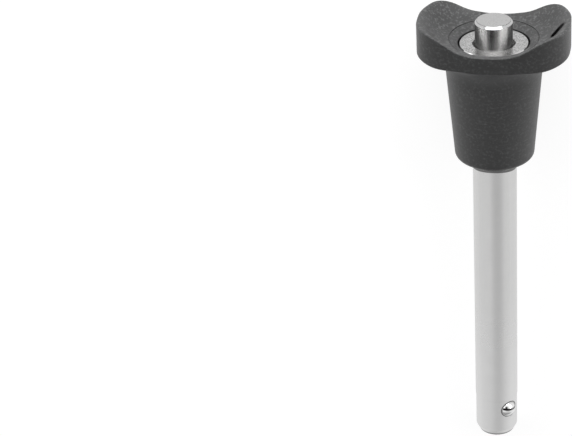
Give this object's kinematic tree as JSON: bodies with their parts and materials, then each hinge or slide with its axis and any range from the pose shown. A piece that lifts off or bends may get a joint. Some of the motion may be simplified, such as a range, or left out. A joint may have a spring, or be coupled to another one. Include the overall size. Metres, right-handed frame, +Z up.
{
  "type": "ball lock pin",
  "caption": "Quick-release ball lock pin: pressing the button in its winged grip lets the locking balls sink into the steel shank, so the pin can be pushed in or pulled out.",
  "frame": {"origin": "on the pin's axis, in the plane of the collar's face that bears on the clamped work", "axes": "the pin lies on its side at rest: +Y runs towards the button, +X towards the wing with the cord hole, +Z is up; the pin's axis leans from +Y towards +Z by about 4 degrees, because the head is wider than the tip"},
  "size_m": [0.054, 0.1734, 0.0391],
  "materials": {
    "grip": "dark grey moulded plastic with a fine grain",
    "shank": "fine turned stainless steel",
    "bush": "blasted face with a bright turned edge",
    "button": "turned side, brushed top",
    "spindle": "ground",
    "spring": "drawn wire",
    "ball": "polished"
  },
  "bodies": {
    "body": {"grip": "grip", "shank": "shank", "bush": "bush", "spring": "spring"},
    "plunger": {"button": "button", "spindle": "spindle"},
    "upper_ball": {"ball_upper": "ball"},
    "lower_ball": {"ball_lower": "ball"}
  },
  "joints": [
    {"name": "button_press", "type": "slide", "parent": "body", "child": "plunger", "axis": [0, -0.9973, -0.0732], "range_m": [0, 0.005], "stiffness_N_per_m": 4000, "springref_m": -0.003, "deforming": ["spring"]},
    {"name": "upper_ball_slide", "type": "slide", "parent": "body", "child": "upper_ball", "axis": [-0.7071, 0.0517, -0.7052], "range_m": [0, 0.00156]},
    {"name": "lower_ball_slide", "type": "slide", "parent": "body", "child": "lower_ball", "axis": [0.7071, -0.0517, 0.7052], "range_m": [0, 0.00156]}
  ],
  "couplings": [
    {"joint": "upper_ball_slide", "follows": "button_press", "ratio": 0.31},
    {"joint": "lower_ball_slide", "follows": "button_press", "ratio": 0.31}
  ]
}
